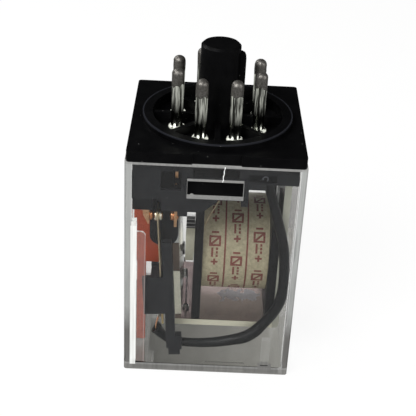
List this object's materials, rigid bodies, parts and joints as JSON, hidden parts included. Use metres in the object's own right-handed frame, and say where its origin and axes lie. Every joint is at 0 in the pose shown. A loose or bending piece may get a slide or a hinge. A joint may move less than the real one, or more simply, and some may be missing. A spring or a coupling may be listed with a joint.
{
  "type": "plug-in relay",
  "caption": "Plug-in changeover relay: clear square cover, black octal plug base with guide post, horizontal coil, hinged armature moving two contact poles.",
  "frame": {"origin": "on the guide post's axis, at the base plate's outer face", "axes": "+Z out along the plug pins, -Y the front face with a latch window, +X the side that the key points to and the coil's fixed end"},
  "size_m": [0.0344, 0.0344, 0.067],
  "materials": {
    "clear_cover": "clear gloss",
    "nickel_pin": "nickel plated",
    "solder": "dull solder",
    "black_base": "satin phenolic",
    "black_moulding": "satin",
    "plated_steel": "zinc plated",
    "enamelled_copper": "enamelled wire",
    "coil_tape": "cream tape",
    "lead_sleeve": "sleeving",
    "bare_copper": "bare copper",
    "contact_silver": "silver alloy",
    "contact_copper": "copper backed",
    "bronze": "phosphor bronze",
    "spring_bronze": "spring bronze",
    "brass": "brass",
    "spring_steel": "bright",
    "orange_flag": "translucent"
  },
  "bodies": {
    "housing": {"base": "black_base", "cover": "clear_cover", "pin_1": "nickel_pin", "pin_2": "nickel_pin", "pin_3": "nickel_pin", "pin_4": "nickel_pin", "pin_5": "nickel_pin", "pin_6": "nickel_pin", "pin_7": "nickel_pin", "pin_8": "nickel_pin", "pin_solder": "solder", "yoke": "plated_steel", "bobbin": "black_moulding", "coil_winding": "enamelled_copper", "coil_tape": "coil_tape", "core": "plated_steel", "coil_terminals": "brass", "coil_leads": "enamelled_copper", "spring_stud": "spring_steel", "nc_arm_front": "bronze", "nc_arm_rear": "bronze", "nc_contact_front": "contact_copper", "nc_contact_rear": "contact_copper", "no_arm_front": "bronze", "no_arm_rear": "bronze", "no_contact_front": "contact_copper", "no_contact_rear": "contact_copper", "lead_sleeve_front": "lead_sleeve", "lead_sleeve_rear": "lead_sleeve", "lead_end_front": "bare_copper", "lead_end_rear": "bare_copper", "indicator_pin": "spring_steel"},
    "armature_set": {"armature": "plated_steel", "residual_shim": "brass", "contact_carrier": "black_moulding", "carrier_rivets": "brass", "common_tab_front": "brass", "common_tab_rear": "brass"},
    "front_contact_spring": {"moving_spring_front": "spring_bronze", "moving_contact_front": "contact_silver"},
    "rear_contact_spring": {"moving_spring_rear": "spring_bronze", "moving_contact_rear": "contact_silver"},
    "return_wire": {"return_spring": "spring_steel"},
    "flag": {"indicator": "orange_flag"}
  },
  "joints": [
    {"name": "armature_hinge", "type": "hinge", "parent": "housing", "child": "armature_set", "pos_m": [-0.00695, 0, -0.04195], "axis": [0, 1, 0], "range_deg": [0, 3.4]},
    {"name": "front_spring_flex", "type": "hinge", "parent": "armature_set", "child": "front_contact_spring", "pos_m": [-0.01007, -0.0128, -0.02906], "axis": [0, 1, 0], "range_deg": [-1.61, 0]},
    {"name": "rear_spring_flex", "type": "hinge", "parent": "armature_set", "child": "rear_contact_spring", "pos_m": [-0.01007, 0.0128, -0.02906], "axis": [0, 1, 0], "range_deg": [-1.61, 0]},
    {"name": "return_spring_flex", "type": "hinge", "parent": "housing", "child": "return_wire", "pos_m": [-0.00475, -0.007, -0.0414], "axis": [0, 1, 0], "range_deg": [0, 3.41]},
    {"name": "indicator_swing", "type": "hinge", "parent": "housing", "child": "flag", "pos_m": [-0.0142, -0.00915, -0.0156], "axis": [0, 1, 0], "range_deg": [-3.41, 0]}
  ],
  "couplings": [
    {"joint": "front_spring_flex", "follows": "armature_hinge", "ratio": -0.47},
    {"joint": "rear_spring_flex", "follows": "armature_hinge", "ratio": -0.47},
    {"joint": "return_spring_flex", "follows": "armature_hinge", "ratio": 1},
    {"joint": "indicator_swing", "follows": "armature_hinge", "ratio": -1}
  ]
}
